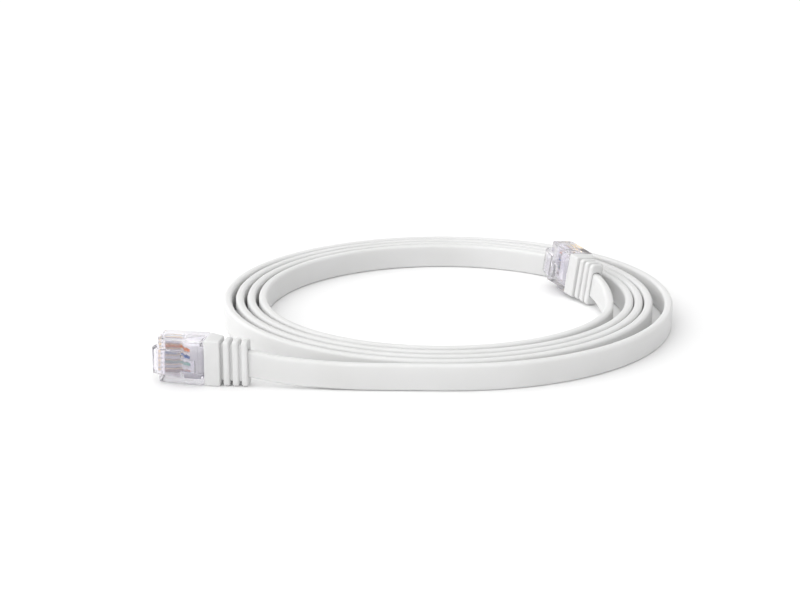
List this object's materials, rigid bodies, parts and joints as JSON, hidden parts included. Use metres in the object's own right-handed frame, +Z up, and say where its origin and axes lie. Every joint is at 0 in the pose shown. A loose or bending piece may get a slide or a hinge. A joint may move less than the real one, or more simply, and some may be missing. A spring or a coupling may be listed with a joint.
{
  "type": "ethernet patch cable",
  "caption": "Flat ethernet patch cable standing on its edge in an open round coil, with a ribbed boot and a clear modular plug with a bending latch at each end.",
  "frame": {"origin": "On the surface the cable stands on, under the middle of the box that holds the two plugs and boots (the free cord is left out of that box).", "axes": "+Z up, across the flat cable's width; +X to the right and +Y to the back as the coil is seen from its front, with the outer plug at the front left (-X, -Y) and the inner plug at the back right (+X, +Y)."},
  "size_m": [0.138, 0.125, 0.0138],
  "materials": {
    "jacket": "smooth white PVC",
    "boot": "soft white moulded PVC",
    "clear_shell": "clear polycarbonate with a faint lavender tint",
    "gold_contact": "gold plating",
    "wire_white_orange": "white insulation with an orange stripe",
    "wire_orange": "orange insulation",
    "wire_white_green": "white insulation with a green stripe",
    "wire_blue": "blue insulation",
    "wire_white_blue": "white insulation with a blue stripe",
    "wire_green": "green insulation",
    "wire_white_brown": "white insulation with a brown stripe",
    "wire_brown": "brown insulation"
  },
  "bodies": {
    "cable": {"cable_coil": "jacket", "front_cable_lead": "jacket", "back_cable_lead": "jacket", "front_boot": "boot", "front_plug_housing": "clear_shell", "front_contact_1": "gold_contact", "front_contact_2": "gold_contact", "front_contact_3": "gold_contact", "front_contact_4": "gold_contact", "front_contact_5": "gold_contact", "front_contact_6": "gold_contact", "front_contact_7": "gold_contact", "front_contact_8": "gold_contact", "front_wire_white_orange": "wire_white_orange", "front_wire_orange": "wire_orange", "front_wire_white_green": "wire_white_green", "front_wire_blue": "wire_blue", "front_wire_white_blue": "wire_white_blue", "front_wire_green": "wire_green", "front_wire_white_brown": "wire_white_brown", "front_wire_brown": "wire_brown", "front_jacket_end": "jacket", "front_crimp_bar": "clear_shell", "front_load_bar": "clear_shell", "back_boot": "boot", "back_plug_housing": "clear_shell", "back_contact_1": "gold_contact", "back_contact_2": "gold_contact", "back_contact_3": "gold_contact", "back_contact_4": "gold_contact", "back_contact_5": "gold_contact", "back_contact_6": "gold_contact", "back_contact_7": "gold_contact", "back_contact_8": "gold_contact", "back_wire_white_orange": "wire_white_orange", "back_wire_orange": "wire_orange", "back_wire_white_green": "wire_white_green", "back_wire_blue": "wire_blue", "back_wire_white_blue": "wire_white_blue", "back_wire_green": "wire_green", "back_wire_white_brown": "wire_white_brown", "back_wire_brown": "wire_brown", "back_jacket_end": "jacket", "back_crimp_bar": "clear_shell", "back_load_bar": "clear_shell"},
    "front_latch": {"front_latch": "clear_shell"},
    "back_latch": {"back_latch": "clear_shell"}
  },
  "joints": [
    {"name": "front_latch_hinge", "type": "hinge", "parent": "cable", "child": "front_latch", "pos_m": [-0.05922, -0.04127, 0.00595], "axis": [0, 0, 1], "range_deg": [0, 10], "stiffness_Nm_per_rad": 0.02},
    {"name": "back_latch_hinge", "type": "hinge", "parent": "cable", "child": "back_latch", "pos_m": [0.04562, 0.04482, 0.0081], "axis": [0.1398, -0.01, 0.9901], "range_deg": [0, 10], "stiffness_Nm_per_rad": 0.02}
  ]
}
